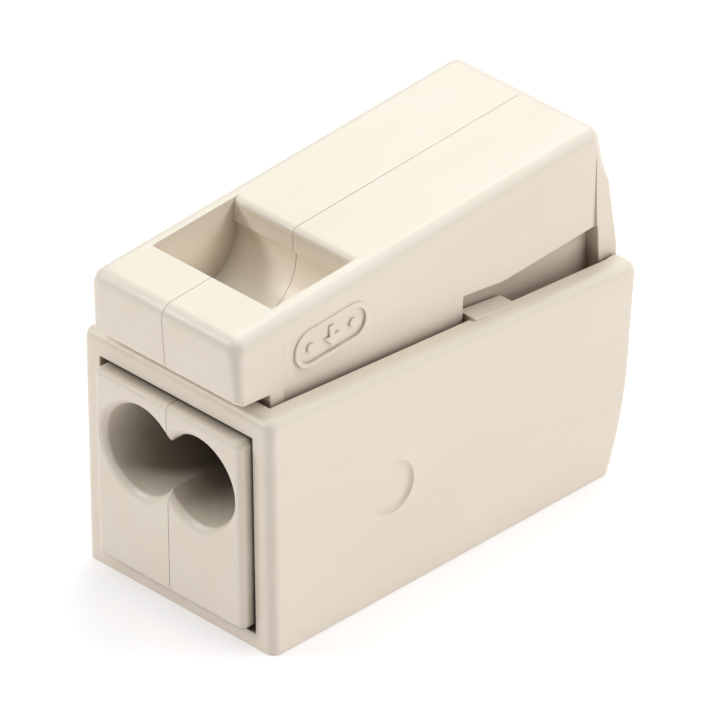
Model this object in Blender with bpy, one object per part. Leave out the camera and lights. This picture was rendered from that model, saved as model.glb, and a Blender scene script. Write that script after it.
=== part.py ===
"""Lever wire connector: an ivory box that joins two solid installation wires, pushed in at the front, with
one lamp wire, held by a cage clamp at the rear. Pressing the lever on top opens the cage clamp.

Metres, +Z up. +Y runs from the front face, with its two wire entries, to the rear face. The origin is the
middle of the flat bottom face. Side profiles are written as (depth, height): the distance behind the front
face, and the height above the bottom face.
"""

import math

import bmesh
import bpy
from mathutils import Matrix, Vector

MM = 0.001

# Housing
WIDTH = 10.5 * MM
SIDE_WALL = 1.0 * MM
FLOOR = 0.7 * MM
BASE_LENGTH = 18.7 * MM
LENGTH = 20.38 * MM
FRONT_HEIGHT = 10.78 * MM
TOP_SLOPE = math.radians(4.55)
TOP_ROUNDING = 0.5 * MM
EDGE_RADIUS = 0.45 * MM
FRONT_BAR_DEPTH = 0.97 * MM
FRONT_OPENING_TOP = 9.7 * MM
REAR_CONTROL = (BASE_LENGTH + 0.9 * MM, 2.0 * MM)
REAR_SHOULDER = (BASE_LENGTH + 1.2 * MM, 4.7 * MM)
REAR_INNER = 18.4 * MM
REAR_LIP = (18.5 * MM, 18.9 * MM)
REAR_LIP_TOP = 8.55 * MM
REAR_WALL_TOP = 6.75 * MM
INNER_HALF = WIDTH / 2 - SIDE_WALL
FRONT_Y = -BASE_LENGTH / 2

# Features on the housing
GUIDE_HALF = 2.9 * MM
GUIDE_DEPTHS = (16.95 * MM, 18.6 * MM)
GUIDE_TOP = 6.4 * MM
LEDGE_DEPTHS = (11.87 * MM, 14.15 * MM)
LEDGE_TOPS = (9.8 * MM, 9.62 * MM)
LEDGE_BOTTOM = 8.6 * MM
LEDGE_INNER = 3.6 * MM
PILLAR_DEPTHS = (8.0 * MM, 11.5 * MM)
PILLAR_SPAN = (2.0 * MM, 2.9 * MM)
DISC_RADIUS = 1.15 * MM
DISC_SUNK = 0.06 * MM

# Wire entries
ENTRY_X = 1.6 * MM
ENTRY_RADIUS = 1.925 * MM
ENTRY_HEIGHT = 6.7 * MM
ENTRY_FLARE = 0.52 * MM
ENTRY_FUNNEL = (4.6 * MM, 5.4 * MM)
STRIPPED_WIRE_RADIUS = 1.15 * MM
REAR_ENTRY_RADIUS = 2.0 * MM
REAR_ENTRY_HEIGHT = 3.9 * MM
REAR_FUNNEL = (17.2 * MM, 18.1 * MM)
REAR_FUNNEL_RADIUS = 1.4 * MM
REAR_FLARE = 0.5 * MM
REAR_FLARE_DEPTHS = (19.1 * MM, 19.8 * MM)

# Entry insert
INSERT_FRONT = -0.52 * MM
INSERT_BACK = 1.4 * MM
INSERT_HALF = 4.1 * MM
INSERT_TOP = 9.52 * MM
INSERT_BOTTOM = 0.85 * MM
INSERT_ROUNDING = 0.5 * MM
INSERT_CORE = ((0.6 * MM, 3.0 * MM), (1.6 * MM, 3.6 * MM))
TUBE_WALL = 0.42 * MM
TUBE_START = 0.9 * MM
TUBE_END = 5.9 * MM
ARM_INNER = 3.3 * MM
ARM_OUTER = 4.07 * MM
ARM_DEPTHS = (TUBE_START, 7.7 * MM)
ARM_HEIGHTS = (3.6 * MM, 6.1 * MM)
PIP = (6.55 * MM, 4.9 * MM)
PIP_RADIUS = 0.85 * MM
PIP_END = 4.35 * MM

# Operating lever, drawn in its raised rest position
LEVER_HALF = 4.1 * MM
LEVER_WAIST_HALF = 4.0 * MM
LEVER_INNER_HALF = 3.2 * MM
LEVER_TILT = math.radians(3.26)
LEVER_TOP_FRONT = 14.09 * MM
LEVER_TOP_REAR = 15.23 * MM
LEVER_LOW = 8.88 * MM
LEVER_PLATE = 1.0 * MM
LEVER_EDGE = 0.6 * MM
LEVER_SIDE_EDGE = 0.5 * MM
HEAD_DEPTH = 1.15 * MM
NOTCH_DEPTH = 11.75 * MM
FLANGE_DEPTHS = (19.2 * MM, 20.18 * MM)
FLANGE_LOW = 8.2 * MM
PIVOT = (2.4 * MM, 9.5 * MM)
TRUNNION_RADIUS = 0.6 * MM
TRUNNION_PLAY = 0.05 * MM
TRUNNION_END = 4.72 * MM
SCOOP_CENTRE = (4.5 * MM, 13.25 * MM)
SCOOP_RADIUS = 2.12 * MM
SCOOP_WALL = 0.9 * MM
WINDOW_FRONT = 2.1 * MM
WINDOW_REAR = 6.45 * MM
WINDOW_HALF = 3.32 * MM
RIM_ROUNDING = 0.3 * MM
SKIRT_SPAN = (2.75 * MM, 3.45 * MM)
SKIRT_DEPTHS = (11.3 * MM, 18.3 * MM)
SKIRT_LOW = 8.6 * MM
TAIL_DEPTHS = (18.1 * MM, 19.5 * MM)
TAIL_LOW = 9.85 * MM
SKIRT_ROOT = 12 * MM
NOSE_DEPTH = 12.7 * MM
NOSE_RADIUS = 0.5 * MM
NOSE_HALF = 1.4 * MM
NOSE_ROOT = 14.3 * MM

# Metal parts
BAR_TOP = 5.65 * MM
BAR_THICKNESS = 0.7 * MM
BAR_DEPTHS = (6.15 * MM, 16.85 * MM)
BAR_HALF = 3.0 * MM
BAR_TAIL_HALF = 1.2 * MM
BAR_TAIL_DEPTH = 11.6 * MM
BAR_END_TOP = 8.95 * MM
BAR_END_THICKNESS = 0.4 * MM
BAR_HOLE_RADIUS = 1.25 * MM
SPRING_THICKNESS = 0.3 * MM
SPRING_HALF = 2.85 * MM
SPRING_LEG_END = 9.6 * MM
SPRING_LEG_HALF = 0.22 * MM
TONGUE_BEND = (7.3 * MM, 8.4 * MM)
TONGUE_BEND_RADIUS = 0.5 * MM
TONGUE_GAP = 0.3 * MM
CAGE_THICKNESS = 0.35 * MM
CAGE_HALF = 1.9 * MM
CAGE_FOOT = 14.6 * MM
CAGE_BEND = (12.35 * MM, 7.645 * MM)
CAGE_BEND_RADIUS = 1.75 * MM
CAGE_LEG = 16.3 * MM
CAGE_LEG_LOW = 4.0 * MM
CAGE_CORNER = 0.5 * MM
CAGE_WINDOW_HALF = 1.35 * MM
CAGE_WINDOW_HEIGHTS = (4.85 * MM, 8.2 * MM)

ARC_STEP = math.radians(18)
PLAY = 0.1 * MM
CONTACT_GAP = 0.06 * MM
OVERLAP = 0.3 * MM
FAR = 30 * MM

IVORY = (0.80, 0.74, 0.64, 1.0)
TINNED_COPPER = (0.78, 0.76, 0.72, 1.0)
SPRING_STEEL = (0.62, 0.62, 0.63, 1.0)


# ---------------------------------------------------------------- outlines

def arc(centre, radius, start, end):
    """Points of an arc in a side profile, with angles in degrees from the depth axis."""
    turn = math.radians(end - start)
    steps = max(2, round(abs(turn) / ARC_STEP))
    angles = [math.radians(start) + turn * i / steps for i in range(steps + 1)]
    return [(centre[0] + radius * math.cos(a), centre[1] + radius * math.sin(a)) for a in angles]


def circle(centre, radius):
    return arc(centre, radius, 0, 360)[:-1]


def rectangle(depths, heights):
    (y0, y1), (z0, z1) = depths, heights
    return [(y0, z0), (y1, z0), (y1, z1), (y0, z1)]


def rounded(corners):
    """An outline from corners (depth, height, radius), with an arc at each corner that has a radius."""
    points = []
    for i, (y, z, radius) in enumerate(corners):
        here = Vector((y, z))
        if radius == 0:
            points.append((y, z))
            continue
        before = (Vector(corners[i - 1][:2]) - here).normalized()
        after = (Vector(corners[(i + 1) % len(corners)][:2]) - here).normalized()
        half = before.angle(after) / 2
        centre = here + (before + after).normalized() * radius / math.sin(half)
        first = here + before * radius / math.tan(half) - centre
        last = here + after * radius / math.tan(half) - centre
        turn = first.angle_signed(last)
        steps = max(2, round(abs(turn) / ARC_STEP))
        for step in range(steps + 1):
            points.append(tuple(centre + Matrix.Rotation(-turn * step / steps, 2) @ first))
    return points


def strip(middle, thickness):
    """The outline of a bent strip of even thickness around its middle line."""
    points = [Vector(p) for p in middle]
    upper, lower = [], []
    for i, point in enumerate(points):
        ahead = (points[min(i + 1, len(points) - 1)] - point) or (point - points[i - 1])
        behind = (point - points[max(i - 1, 0)]) or ahead
        direction = (ahead.normalized() + behind.normalized()).normalized()
        side = Vector((-direction.y, direction.x)) * thickness / 2
        upper.append(tuple(point + side))
        lower.append(tuple(point - side))
    return upper + lower[::-1]


# ---------------------------------------------------------------- solids

def make_object(name, builder, helper=True):
    """An object from a bmesh; helpers are the cutters and the pieces joined to a sub-part."""
    mesh = bpy.data.meshes.new(name)
    bmesh.ops.recalc_face_normals(builder, faces=builder.faces)
    builder.to_mesh(mesh)
    builder.free()
    obj = bpy.data.objects.new(name, mesh)
    bpy.context.scene.collection.objects.link(obj)
    if helper:
        obj.hide_render = True
        obj.display_type = "WIRE"
    return obj


def prism(name, outline, x_range, bevel=None, helper=True):
    """A side profile drawn out along X. bevel holds (radius, test); test(middle, edge) picks the edges."""
    builder = bmesh.new()
    low, high = x_range
    ring = [builder.verts.new((low, FRONT_Y + y, z)) for y, z in outline]
    face = builder.faces.new(ring)
    moved = bmesh.ops.extrude_face_region(builder, geom=[face])
    shifted = [item for item in moved["geom"] if isinstance(item, bmesh.types.BMVert)]
    bmesh.ops.translate(builder, verts=shifted, vec=(high - low, 0, 0))
    if bevel:
        radius, test = bevel
        chosen = [e for e in builder.edges if test((e.verts[0].co + e.verts[1].co) / 2, e)]
        bmesh.ops.bevel(builder, geom=chosen, offset=radius, segments=3, profile=0.5, affect="EDGES")
    return make_object(name, builder, helper)


def block(name, half_width, depths, heights):
    return prism(name, rectangle(depths, heights), (-half_width, half_width))


def both_sides(name, outline, low, high):
    """The same helper on the right and on the left, between x = low and x = high."""
    return [
        prism(f"{name}_right", outline, (low, high)),
        prism(f"{name}_left", outline, (-high, -low)),
    ]


def turned(name, profile, x, height, segments=32):
    """A solid of revolution about a line along Y; profile holds (depth, radius) from end to end."""
    builder = bmesh.new()
    rings = []
    for depth, radius in profile:
        angles = [2 * math.pi * i / segments for i in range(segments)]
        rings.append([
            builder.verts.new((x + radius * math.cos(a), FRONT_Y + depth, height + radius * math.sin(a)))
            for a in angles
        ])
    for first, second in zip(rings, rings[1:]):
        for i in range(segments):
            j = (i + 1) % segments
            builder.faces.new((first[i], first[j], second[j], second[i]))
    builder.faces.new(rings[0])
    builder.faces.new(rings[-1])
    return make_object(name, builder)


def combine(base, operation, others):
    for other in others:
        modifier = base.modifiers.new(f"{operation.lower()} {other.name}", "BOOLEAN")
        modifier.operation = operation
        modifier.object = other


def cut(base, *cutters):
    combine(base, "DIFFERENCE", cutters)


def add(base, *pieces):
    combine(base, "UNION", pieces)


def paint(obj, name, colour, roughness, metallic=0.0):
    material = bpy.data.materials.get(name) or bpy.data.materials.new(name)
    material.use_nodes = True
    shader = material.node_tree.nodes["Principled BSDF"]
    shader.inputs["Base Color"].default_value = colour
    shader.inputs["Roughness"].default_value = roughness
    shader.inputs["Metallic"].default_value = metallic
    obj.data.materials.clear()
    obj.data.materials.append(material)
    obj.data.shade_smooth()
    obj.data.set_sharp_from_angle(angle=math.radians(35))


def set_origin(obj, pivot):
    """Puts the object's origin on its joint's axis, leaving its shape where it is."""
    origin = Vector((0, FRONT_Y + pivot[0], pivot[1]))
    obj.data.transform(Matrix.Translation(-origin))
    obj.location = origin


# ---------------------------------------------------------------- housing

def wall_top(depth):
    return FRONT_HEIGHT - depth * math.tan(TOP_SLOPE)


def rear_curve(steps=8):
    """The rear face from the foot up to the shoulder, where its straight slant begins."""
    foot = Vector((BASE_LENGTH, 0))
    control = Vector(REAR_CONTROL)
    shoulder = Vector(REAR_SHOULDER)
    shares = [i / steps for i in range(steps)]
    return [tuple((1 - t) ** 2 * foot + 2 * t * (1 - t) * control + t * t * shoulder) for t in shares]


def cavity_outline():
    """The room inside, open at the front below the front bar and at the top behind it."""
    return [
        (-FAR, FLOOR),
        (REAR_INNER - FLOOR, FLOOR),
        (REAR_INNER, REAR_SHOULDER[1] + OVERLAP),
        (REAR_INNER, REAR_WALL_TOP - OVERLAP),
        (REAR_LIP[0], REAR_WALL_TOP),
        (REAR_LIP[0], REAR_LIP_TOP),
        (REAR_LIP[1], REAR_LIP_TOP),
        (REAR_LIP[1], REAR_WALL_TOP),
        (FAR, REAR_WALL_TOP),
        (FAR, FAR),
        (FRONT_BAR_DEPTH, FAR),
        (FRONT_BAR_DEPTH, FRONT_OPENING_TOP),
        (-FAR, FRONT_OPENING_TOP),
    ]


def make_housing():
    outline = rear_curve() + rounded([
        (*REAR_SHOULDER, 0),
        (LENGTH, wall_top(LENGTH), TOP_ROUNDING),
        (0, FRONT_HEIGHT, TOP_ROUNDING),
        (0, 0, 0),
    ])
    flank = WIDTH / 2 - 1e-6

    def side_edge(middle, edge):
        return abs(middle.x) > flank and middle.z > 1e-6

    housing = prism("housing", outline, (-WIDTH / 2, WIDTH / 2), (EDGE_RADIUS, side_edge), helper=False)
    inside = prism("housing_inside", cavity_outline(), (-INNER_HALF, INNER_HALF))

    guide = block("wire_guide", GUIDE_HALF, GUIDE_DEPTHS, (FLOOR - OVERLAP, GUIDE_TOP))
    ledge = [
        (LEDGE_DEPTHS[0], LEDGE_BOTTOM),
        (LEDGE_DEPTHS[1], LEDGE_BOTTOM),
        (LEDGE_DEPTHS[1], LEDGE_TOPS[1]),
        (LEDGE_DEPTHS[0], LEDGE_TOPS[0]),
    ]
    ledges = both_sides("stop_ledge", ledge, LEDGE_INNER, INNER_HALF + OVERLAP)
    pillar = rectangle(PILLAR_DEPTHS, (FLOOR - OVERLAP, BAR_TOP - BAR_THICKNESS - PLAY))
    pillars = both_sides("bar_pillar", pillar, *PILLAR_SPAN)

    entry = turned("rear_entry", [
        (REAR_FUNNEL[0] - 1 * MM, REAR_FUNNEL_RADIUS),
        (REAR_FUNNEL[0], REAR_FUNNEL_RADIUS),
        (REAR_FUNNEL[1], REAR_ENTRY_RADIUS),
        (REAR_FLARE_DEPTHS[0], REAR_ENTRY_RADIUS),
        (REAR_FLARE_DEPTHS[1], REAR_ENTRY_RADIUS + REAR_FLARE),
        (FAR, REAR_ENTRY_RADIUS + REAR_FLARE),
    ], 0, REAR_ENTRY_HEIGHT)
    inner = INNER_HALF - OVERLAP
    socket = circle(PIVOT, TRUNNION_RADIUS + TRUNNION_PLAY)
    sockets = both_sides("trunnion_socket", socket, inner, TRUNNION_END + PLAY)
    pip_seats = both_sides("pip_seat", circle(PIP, PIP_RADIUS + PLAY), inner, PIP_END + PLAY)
    discs = both_sides("side_disc", circle(PIP, DISC_RADIUS), WIDTH / 2 - DISC_SUNK, WIDTH / 2 + OVERLAP)
    cut(housing, inside)
    add(housing, guide, *ledges, *pillars)
    cut(housing, entry, *sockets, *pip_seats, *discs)
    return housing


# ---------------------------------------------------------------- entry insert

def entry_cutter(name, x):
    """One wire channel: a flared mouth, the bore for the insulation and a funnel for the stripped end."""
    mouth = ENTRY_RADIUS + ENTRY_FLARE
    flare = [(INSERT_FRONT + ENTRY_FLARE - y, mouth - r) for y, r in arc((0, 0), ENTRY_FLARE, 0, 90)]
    profile = [(INSERT_FRONT - 1 * MM, mouth)] + flare + [
        (ENTRY_FUNNEL[0], ENTRY_RADIUS),
        (ENTRY_FUNNEL[1], STRIPPED_WIRE_RADIUS),
        (TUBE_END + 1 * MM, STRIPPED_WIRE_RADIUS),
    ]
    return turned(name, profile, x, ENTRY_HEIGHT)


def make_entry_insert():
    front_plane = FRONT_Y + INSERT_FRONT + 1e-6

    def front_edge(middle, edge):
        return middle.y < front_plane

    insert = prism(
        "entry_insert",
        rectangle((INSERT_FRONT, INSERT_BACK), (INSERT_BOTTOM, INSERT_TOP)),
        (-INSERT_HALF, INSERT_HALF),
        (INSERT_ROUNDING, front_edge),
        helper=False,
    )
    outer = ENTRY_RADIUS + TUBE_WALL
    sides = (("left", -ENTRY_X), ("right", ENTRY_X))
    tubes = [
        turned(f"tube_{side}", [(TUBE_START, outer), (TUBE_END, outer)], x, ENTRY_HEIGHT)
        for side, x in sides
    ]
    arms = both_sides("insert_arm", rectangle(ARM_DEPTHS, ARM_HEIGHTS), ARM_INNER, ARM_OUTER)
    pips = both_sides("pip", circle(PIP, PIP_RADIUS), INSERT_HALF - OVERLAP, PIP_END)
    core = block("insert_core", ARM_INNER, *INSERT_CORE)
    channels = [entry_cutter(f"channel_{side}", x) for side, x in sides]
    add(insert, *tubes, *arms, *pips)
    cut(insert, core, *channels)
    return insert


# ---------------------------------------------------------------- operating lever

def lever_top(depth):
    return LEVER_TOP_FRONT + (depth - INSERT_FRONT) * math.tan(LEVER_TILT)


def lever_outline():
    """From the underside of the head back to the rear flange, and forwards again over the top."""
    flange_front, flange_back = FLANGE_DEPTHS
    return rounded([
        (-0.5 * MM, 11.2 * MM, 0.25 * MM),
        (HEAD_DEPTH, 11.08 * MM, 0),
        (HEAD_DEPTH, 9.78 * MM, 0),
        (1.62 * MM, 9.78 * MM, 0),
        (1.62 * MM, LEVER_LOW, 0),
        (NOTCH_DEPTH, LEVER_LOW, 0),
        (NOTCH_DEPTH, 10.79 * MM, 0.1 * MM),
        (14.0 * MM, 10.48 * MM, 0),
        (flange_front - 0.05 * MM, 10.77 * MM, 0),
        (flange_front, FLANGE_LOW, 0.08 * MM),
        (flange_back, FLANGE_LOW, 0.2 * MM),
        (20.15 * MM, 9.6 * MM, 0),
        (19.42 * MM, LEVER_TOP_REAR, LEVER_EDGE),
        (-0.67 * MM, LEVER_TOP_FRONT, LEVER_EDGE),
    ])


def window_outline():
    """The scoop behind the head and the window above it, open at the top."""
    rim_top = lever_top(WINDOW_REAR)
    step = SCOOP_CENTRE[1] + 0.2 * MM
    return [
        (WINDOW_FRONT, FAR),
        (WINDOW_FRONT, SCOOP_CENTRE[1]),
        *arc(SCOOP_CENTRE, SCOOP_RADIUS, 180, 360),
        (SCOOP_CENTRE[0] + SCOOP_RADIUS, step),
        (WINDOW_REAR, step),
        *arc((WINDOW_REAR + RIM_ROUNDING, rim_top - RIM_ROUNDING), RIM_ROUNDING, 180, 94),
        (WINDOW_REAR + RIM_ROUNDING, FAR),
    ]


def hollow_outline():
    """The room under the scoop's shell and under the top plate, open at the bottom."""
    shell = arc(SCOOP_CENTRE, SCOOP_RADIUS + SCOOP_WALL, 205, 330)
    front, back = 1.5 * MM, FLANGE_DEPTHS[0]
    behind_shell = shell[-1][0] + 0.3 * MM
    behind_plate = back - 0.7 * MM
    return [
        (front, 0),
        (front, 9.75 * MM),
        (shell[0][0], 9.75 * MM),
        *shell,
        (behind_shell, lever_top(behind_shell) - LEVER_PLATE),
        (behind_plate, lever_top(behind_plate) - LEVER_PLATE),
        (back, PIVOT[1]),
        (back, 0),
    ]


def make_operating_lever():
    flank = LEVER_HALF - 1e-6
    crown = 13 * MM

    def rounded_edge(middle, edge):
        upright = abs(edge.verts[0].co.z - edge.verts[1].co.z) > 1 * MM
        return abs(middle.x) > flank and (middle.z > crown or (upright and middle.y < FRONT_Y))

    lever = prism(
        "operating_lever", lever_outline(), (-LEVER_HALF, LEVER_HALF),
        (LEVER_SIDE_EDGE, rounded_edge), helper=False,
    )
    waist = [(1.85 * MM, 0), (19.1 * MM, 0), (19.1 * MM, 14.2 * MM), (1.85 * MM, 13.2 * MM)]
    waists = both_sides("waist", waist, LEVER_WAIST_HALF, LEVER_HALF + OVERLAP)
    window = prism("window", window_outline(), (-WINDOW_HALF, WINDOW_HALF))
    hollow = prism("lever_hollow", hollow_outline(), (-LEVER_INNER_HALF, LEVER_INNER_HALF))

    skirts = both_sides("skirt", rectangle(SKIRT_DEPTHS, (SKIRT_LOW, SKIRT_ROOT)), *SKIRT_SPAN)
    tails = both_sides("skirt_tail", rectangle(TAIL_DEPTHS, (TAIL_LOW, SKIRT_ROOT)), *SKIRT_SPAN)
    trunnion = circle(PIVOT, TRUNNION_RADIUS)
    trunnions = both_sides("trunnion", trunnion, LEVER_WAIST_HALF - OVERLAP, TRUNNION_END)
    nose_tip = CAGE_BEND[1] + CAGE_BEND_RADIUS + CAGE_THICKNESS / 2 + PLAY
    nose_end = arc((NOSE_DEPTH, nose_tip + NOSE_RADIUS), NOSE_RADIUS, 180, 360)
    nose_root = [(NOSE_DEPTH + NOSE_RADIUS, NOSE_ROOT), (NOSE_DEPTH - NOSE_RADIUS, NOSE_ROOT)]
    nose = prism("press_nose", nose_root + nose_end, (-NOSE_HALF, NOSE_HALF))
    web_depths = (NOSE_DEPTH - NOSE_RADIUS / 2, NOSE_DEPTH + NOSE_RADIUS / 2)
    web = block("nose_web", LEVER_INNER_HALF + 0.2 * MM, web_depths, (11.2 * MM, NOSE_ROOT))

    cut(lever, *waists, window, hollow)
    add(lever, *skirts, *tails, *trunnions, nose, web)
    set_origin(lever, PIVOT)
    return lever


# ---------------------------------------------------------------- metal parts

def make_current_bar():
    """A plate under the wires, with an upturned end they pass and a narrow tail in the cage clamp."""
    front, back = BAR_DEPTHS
    bottom = BAR_TOP - BAR_THICKNESS
    bar = prism("current_bar", [
        (front, bottom),
        (back, bottom),
        (back, BAR_TOP),
        (front + BAR_END_THICKNESS, BAR_TOP),
        (front + BAR_END_THICKNESS, BAR_END_TOP),
        (front, BAR_END_TOP),
    ], (-BAR_HALF, BAR_HALF), helper=False)
    beside_tail = rectangle((BAR_TAIL_DEPTH, FAR), (bottom - 1 * MM, BAR_TOP + 1 * MM))
    tail_sides = both_sides("tail_side", beside_tail, BAR_TAIL_HALF, BAR_HALF + 1 * MM)
    hole = [(front - 1 * MM, BAR_HOLE_RADIUS), (front + 1.35 * MM, BAR_HOLE_RADIUS)]
    holes = [turned(f"bar_hole_{i}", hole, x, ENTRY_HEIGHT, 24) for i, x in enumerate((-ENTRY_X, ENTRY_X))]
    cut(bar, *tail_sides, *holes)
    return bar


def make_push_wire_spring():
    """The fixed leg above the wires, with its half of the front bend and a middle leg to the bar."""
    bend_top = TONGUE_BEND[1] + TONGUE_BEND_RADIUS
    line = [(SPRING_LEG_END, bend_top)] + arc(TONGUE_BEND, TONGUE_BEND_RADIUS, 90, 178)
    outline = strip(line, SPRING_THICKNESS)
    spring = prism("push_wire_spring", outline, (-SPRING_HALF, SPRING_HALF), helper=False)
    leg_depths = (SPRING_LEG_END - SPRING_THICKNESS, SPRING_LEG_END)
    leg = block("middle_leg", SPRING_LEG_HALF, leg_depths, (BAR_TOP + CONTACT_GAP, bend_top + 0.1 * MM))
    add(spring, leg)
    return spring


def make_tongue(side, low, high):
    """One clamping tongue, from the bend down to the bar; a wire pushes it up about the bend."""
    line = arc(TONGUE_BEND, TONGUE_BEND_RADIUS, 182, 225)
    last_depth, last_height = line[-1]
    drop = last_height - BAR_TOP - CONTACT_GAP - SPRING_THICKNESS / 2 - 0.01 * MM
    line.append((last_depth + drop, last_height - drop))
    tongue = prism(f"push_wire_tongue_{side}", strip(line, SPRING_THICKNESS), (low, high), helper=False)
    set_origin(tongue, TONGUE_BEND)
    return tongue


def make_cage_spring():
    """The fixed leg on the bar and the lower half of the cage clamp's bow."""
    foot = (CAGE_FOOT, CAGE_BEND[1] - CAGE_BEND_RADIUS)
    line = [foot] + arc(CAGE_BEND, CAGE_BEND_RADIUS, 270, 182)
    return prism("cage_clamp_spring", strip(line, CAGE_THICKNESS), (-CAGE_HALF, CAGE_HALF), helper=False)


def make_cage_arm():
    """The upper half of the bow, the arm that the lever presses and the cage that holds the wire."""
    top = CAGE_BEND[1] + CAGE_BEND_RADIUS
    line = arc(CAGE_BEND, CAGE_BEND_RADIUS, 178, 90)
    line += arc((CAGE_LEG - CAGE_CORNER, top - CAGE_CORNER), CAGE_CORNER, 90, 0)
    line.append((CAGE_LEG, CAGE_LEG_LOW))
    arm = prism("cage_clamp_arm", strip(line, CAGE_THICKNESS), (-CAGE_HALF, CAGE_HALF), helper=False)
    window_depths = (CAGE_LEG - CAGE_THICKNESS * 2, CAGE_LEG + CAGE_THICKNESS * 2)
    window = block("cage_window", CAGE_WINDOW_HALF, window_depths, CAGE_WINDOW_HEIGHTS)
    cut(arm, window)
    set_origin(arm, (CAGE_BEND[0] - CAGE_BEND_RADIUS, CAGE_BEND[1]))
    return arm


# ---------------------------------------------------------------- assembly

def main():
    for obj in list(bpy.data.objects):
        bpy.data.objects.remove(obj)
    for obj in (make_housing(), make_entry_insert(), make_operating_lever()):
        paint(obj, "ivory_plastic", IVORY, 0.45)
    paint(make_current_bar(), "tinned_copper", TINNED_COPPER, 0.3, 1.0)
    springs = [
        make_push_wire_spring(),
        make_tongue("left", -SPRING_HALF, -TONGUE_GAP),
        make_tongue("right", TONGUE_GAP, SPRING_HALF),
        make_cage_spring(),
        make_cage_arm(),
    ]
    for obj in springs:
        paint(obj, "spring_steel", SPRING_STEEL, 0.28, 1.0)


main()
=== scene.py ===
"""Looks of the lever wire connector. Every sub-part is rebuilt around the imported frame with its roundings,
seams and moulded mark, in satin ivory plastic, tinned copper and spring steel.

Metres, +Z up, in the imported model's own frame. Side profiles are (depth, height): the distance behind the
housing's front face, and the height above its bottom face. A third number is the corner's rounding.
"""

import math

import bmesh
import bpy
from mathutils import Matrix, Vector


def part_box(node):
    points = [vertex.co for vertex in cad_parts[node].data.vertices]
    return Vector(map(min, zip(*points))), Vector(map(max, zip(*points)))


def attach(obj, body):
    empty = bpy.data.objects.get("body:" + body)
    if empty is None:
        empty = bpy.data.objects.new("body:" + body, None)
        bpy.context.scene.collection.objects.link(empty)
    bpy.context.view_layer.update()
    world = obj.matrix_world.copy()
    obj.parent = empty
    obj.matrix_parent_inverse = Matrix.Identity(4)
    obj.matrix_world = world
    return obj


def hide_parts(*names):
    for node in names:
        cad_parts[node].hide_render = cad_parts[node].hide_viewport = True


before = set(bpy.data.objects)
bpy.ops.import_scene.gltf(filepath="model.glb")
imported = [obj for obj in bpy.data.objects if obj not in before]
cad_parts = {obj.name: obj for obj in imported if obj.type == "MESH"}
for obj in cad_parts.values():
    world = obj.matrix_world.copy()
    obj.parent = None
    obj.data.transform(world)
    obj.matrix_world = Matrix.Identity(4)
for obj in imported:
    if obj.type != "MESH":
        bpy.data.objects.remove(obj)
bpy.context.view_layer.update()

MM = 0.001

# Taken from the frame
HOUSING_LOW, HOUSING_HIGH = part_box("housing")
INSERT_LOW, INSERT_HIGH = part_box("entry_insert")
BAR_LOW, BAR_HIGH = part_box("current_bar")
FRONT_Y = HOUSING_LOW.y
HALF_WIDTH = HOUSING_HIGH.x
FRONT_HEIGHT = HOUSING_HIGH.z
INSERT_FRONT = INSERT_LOW.y - FRONT_Y
INSERT_BOTTOM = INSERT_LOW.z
INSERT_TOP = INSERT_HIGH.z
BAR_DEPTHS = (BAR_LOW.y - FRONT_Y, BAR_HIGH.y - FRONT_Y)
BAR_BOTTOM = BAR_LOW.z
BAR_END_TOP = BAR_HIGH.z
BAR_HALF = BAR_HIGH.x

# Housing
SIDE_WALL = 1.0 * MM
FLOOR = 0.7 * MM
BASE_LENGTH = 18.7 * MM
REAR_CONTROL = (BASE_LENGTH + 0.9 * MM, 2.0 * MM)
REAR_SHOULDER = (BASE_LENGTH + 1.2 * MM, 4.7 * MM)
REAR_TIP = 20.36 * MM
REAR_TIP_ROUNDING = 0.56 * MM
REAR_RISE_START = 19.3 * MM
REAR_RISE = 0.15 * MM
REAR_RISE_ROUNDING = 1.5 * MM
TOP_SLOPE = math.radians(4.55)
TOP_ROUNDING = 0.5 * MM
EDGE_RADIUS = 0.45 * MM
FINE_EDGE = 0.05 * MM
FRONT_BAR_DEPTH = 0.97 * MM
FRONT_OPENING_TOP = 9.7 * MM
REAR_INNER = 18.4 * MM
REAR_WALL_TOP = 6.75 * MM
INNER_HALF = HALF_WIDTH - SIDE_WALL
GUIDE_HALF = 2.9 * MM
GUIDE_DEPTHS = (16.95 * MM, 18.6 * MM)
GUIDE_TOP = 6.4 * MM
LEDGE_DEPTHS = (11.86 * MM, 14.15 * MM)
LEDGE_TOPS = (9.93 * MM, 9.62 * MM)
LEDGE_BOTTOM = 8.6 * MM
LEDGE_INNER = 3.6 * MM
PILLAR_DEPTHS = (8.0 * MM, 11.5 * MM)
PILLAR_SPAN = (2.0 * MM, 2.9 * MM)
DISC_RADIUS = 1.19 * MM
DISC_SUNK = 0.16 * MM
DISC_FILLET = 0.2 * MM

# Wire entries
ENTRY_X = 1.6 * MM
ENTRY_RADIUS = 1.925 * MM
ENTRY_HEIGHT = 6.7 * MM
ENTRY_FLARE_REACH = 0.95 * MM
ENTRY_FLARE = 0.56 * MM
ENTRY_CREASE = 0.14 * MM        # the mouth's curve aims this far inside the bore, so it ends in a crease
ENTRY_FUNNEL = (4.6 * MM, 5.4 * MM)
STRIPPED_RADIUS = 1.15 * MM
REAR_ENTRY_RADIUS = 2.0 * MM
REAR_ENTRY_HEIGHT = 3.9 * MM
REAR_FUNNEL = (17.2 * MM, 18.1 * MM)
REAR_FUNNEL_RADIUS = 1.4 * MM
REAR_FLARE = 0.5 * MM
REAR_FLARE_START = 19.1 * MM
REAR_FLARE_REACH = 0.7 * MM

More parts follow.
